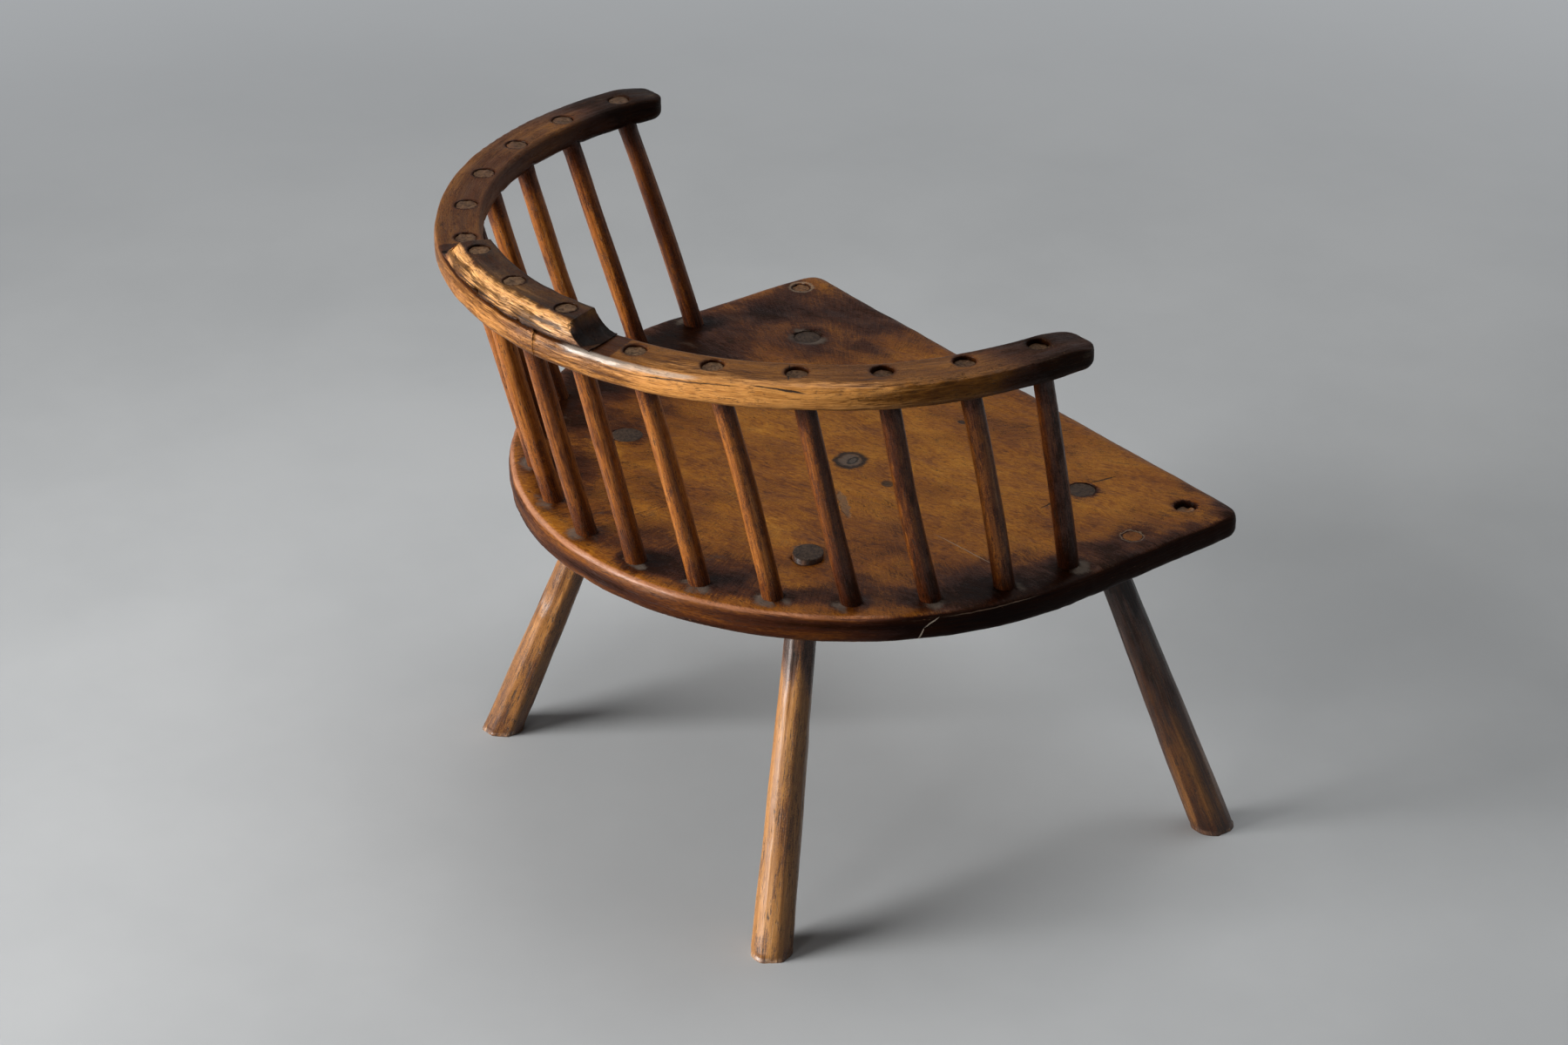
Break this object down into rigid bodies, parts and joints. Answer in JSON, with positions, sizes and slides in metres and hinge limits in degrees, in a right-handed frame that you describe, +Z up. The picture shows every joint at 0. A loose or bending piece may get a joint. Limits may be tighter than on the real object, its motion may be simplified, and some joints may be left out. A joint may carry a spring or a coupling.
{
  "type": "low-back stick armchair",
  "caption": "Low hand-made stick armchair: a D-shaped plank seat on splayed shaved legs, with a ring of sticks that carries a horseshoe arm bow and a raised block behind the sitter.",
  "frame": {"origin": "on the floor, in the middle of the chair's box", "axes": "+Z up, -Y the way the sitter faces, +X the sitter's left, across the widest part of the arm bow"},
  "size_m": [0.622, 0.5402, 0.5395],
  "materials": {
    "seat_wood": "worn wax, satin",
    "leg_wood": "shaved, waxed, satin",
    "stick_wood": "shaved, waxed, satin",
    "bow_wood": "worn polish, satin"
  },
  "bodies": {
    "root": {"seat_board": "seat_wood", "leg_front_left": "leg_wood", "leg_front_right": "leg_wood", "leg_rear_left": "leg_wood", "leg_rear_right": "leg_wood", "stick_01": "stick_wood", "stick_02": "stick_wood", "stick_03": "stick_wood", "stick_04": "stick_wood", "stick_05": "stick_wood", "stick_06": "stick_wood", "stick_07": "stick_wood", "stick_08": "stick_wood", "stick_09": "stick_wood", "stick_10": "stick_wood", "stick_11": "stick_wood", "stick_12": "stick_wood", "stick_13": "stick_wood", "stick_14": "stick_wood", "stick_15": "stick_wood", "stub_front_left": "stick_wood", "stub_front_right": "stick_wood", "stub_side_right": "stick_wood", "arm_left": "bow_wood", "arm_right": "bow_wood", "back_doubler": "bow_wood"}
  },
  "joints": []
}
